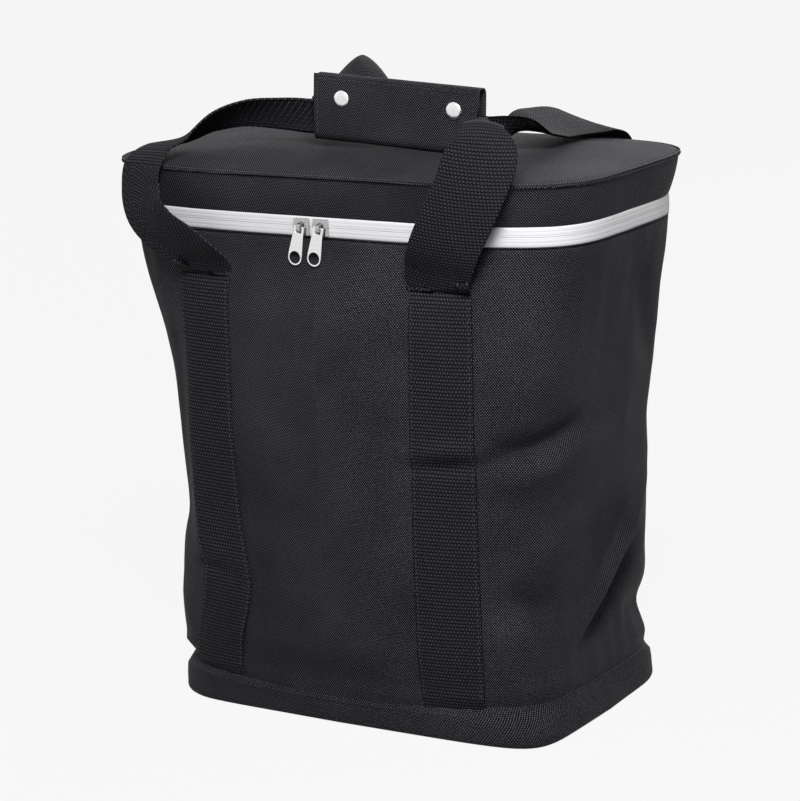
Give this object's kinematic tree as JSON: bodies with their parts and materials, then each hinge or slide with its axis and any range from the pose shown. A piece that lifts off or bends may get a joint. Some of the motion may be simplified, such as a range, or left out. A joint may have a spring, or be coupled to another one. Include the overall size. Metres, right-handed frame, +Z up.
{
  "type": "bike basket cooler bag",
  "caption": "Tall insulated bag for a bicycle basket with a zipped lift-up lid, webbing carry loops and a press-stud grip wrap; keeps food and drink cold.",
  "frame": {"origin": "centre of the flat base, on the ground", "axes": "+Z up, -Y the front with the zip sliders, +X to the right seen from the front"},
  "size_m": [0.3992, 0.2568, 0.4667],
  "materials": {
    "black_cloth": "woven polyester, matt",
    "black_webbing": "ribbed webbing, matt",
    "white_zip": "zip tape and coil",
    "foam": "closed-cell foam sheet",
    "silver_liner": "silvered film",
    "base_board": "stiff sheet",
    "nickel": "nickel plate"
  },
  "bodies": {
    "bag": {"front_side_panel": "black_cloth", "back_panel": "black_cloth", "base_band": "black_cloth", "base_panel": "black_cloth", "base_board": "base_board", "base_foam": "foam", "foam_front": "foam", "foam_back": "foam", "foam_left": "foam", "foam_right": "foam", "liner": "silver_liner", "rim_binding": "black_cloth", "zip_tape_lower": "white_zip", "zip_coil_lower": "white_zip", "lid_hinge_strip": "black_cloth", "front_strap_left_sewn": "black_webbing", "front_strap_right_sewn": "black_webbing", "back_strap_left_sewn": "black_webbing", "back_strap_right_sewn": "black_webbing"},
    "lid": {"lid_band": "black_cloth", "lid_top_panel": "black_cloth", "lid_foam": "foam", "lid_liner": "silver_liner", "zip_tape_upper": "white_zip", "zip_coil_upper": "white_zip"},
    "front_legs": {"front_handle_left_leg": "black_webbing", "front_handle_right_leg": "black_webbing"},
    "front_bow": {"front_handle_bow": "black_webbing"},
    "back_legs": {"back_handle_left_leg": "black_webbing", "back_handle_right_leg": "black_webbing"},
    "back_bow": {"back_handle_bow": "black_webbing", "handle_wrap": "black_cloth", "snap_stud_left": "nickel", "snap_stud_right": "nickel"},
    "flap": {"wrap_flap": "black_cloth", "snap_cap_left": "nickel", "snap_cap_right": "nickel", "snap_socket_left": "nickel", "snap_socket_right": "nickel"},
    "slider_left": {"zip_slider_left": "nickel"},
    "slider_right": {"zip_slider_right": "nickel"},
    "pull_left": {"zip_pull_left": "nickel"},
    "pull_right": {"zip_pull_right": "nickel"}
  },
  "joints": [
    {"name": "lid_hinge", "type": "hinge", "parent": "bag", "child": "lid", "pos_m": [0, 0.1075, 0.3665], "axis": [-1, 0, 0], "range_deg": [0, 105], "deforming": ["lid_hinge_strip"]},
    {"name": "front_legs_fold", "type": "hinge", "parent": "bag", "child": "front_legs", "pos_m": [0, -0.112, 0.328], "axis": [1, 0, 0], "range_deg": [0, 166], "deforming": ["front_handle_left_leg", "front_handle_right_leg"]},
    {"name": "front_bow_fold", "type": "hinge", "parent": "front_legs", "child": "front_bow", "pos_m": [0, -0.113, 0.424], "axis": [1, 0, 0], "range_deg": [0, 91], "deforming": ["front_handle_bow"]},
    {"name": "back_legs_fold", "type": "hinge", "parent": "bag", "child": "back_legs", "pos_m": [0, 0.1105, 0.328], "axis": [-1, 0, 0], "range_deg": [0, 166], "deforming": ["back_handle_left_leg", "back_handle_right_leg"]},
    {"name": "back_bow_fold", "type": "hinge", "parent": "back_legs", "child": "back_bow", "pos_m": [0, 0.104, 0.436], "axis": [-1, 0, 0], "range_deg": [0, 91], "deforming": ["back_handle_bow"]},
    {"name": "wrap_flap_open", "type": "hinge", "parent": "back_bow", "child": "flap", "pos_m": [0.02619, -0.0468, 0.41643], "axis": [0.9986, 0, -0.0523], "range_deg": [0, 80]},
    {"name": "slider_left_slide", "type": "slide", "parent": "bag", "child": "slider_left", "axis": [-1, 0, 0], "range_m": [0, 0.05]},
    {"name": "slider_right_slide", "type": "slide", "parent": "bag", "child": "slider_right", "axis": [1, 0, 0], "range_m": [0, 0.062]},
    {"name": "pull_left_swing", "type": "hinge", "parent": "slider_left", "child": "pull_left", "pos_m": [-0.015, -0.1112, 0.3665], "axis": [-1, 0, 0], "range_deg": [0, 150]},
    {"name": "pull_right_swing", "type": "hinge", "parent": "slider_right", "child": "pull_right", "pos_m": [0.001, -0.1112, 0.3665], "axis": [-1, 0, 0], "range_deg": [0, 150]}
  ],
  "couplings": [
    {"joint": "front_legs_fold", "follows": "lid_hinge", "ratio": 1.5714},
    {"joint": "front_bow_fold", "follows": "lid_hinge", "ratio": 0.85714},
    {"joint": "back_legs_fold", "follows": "lid_hinge", "ratio": 1.5714},
    {"joint": "back_bow_fold", "follows": "lid_hinge", "ratio": 0.85714}
  ]
}
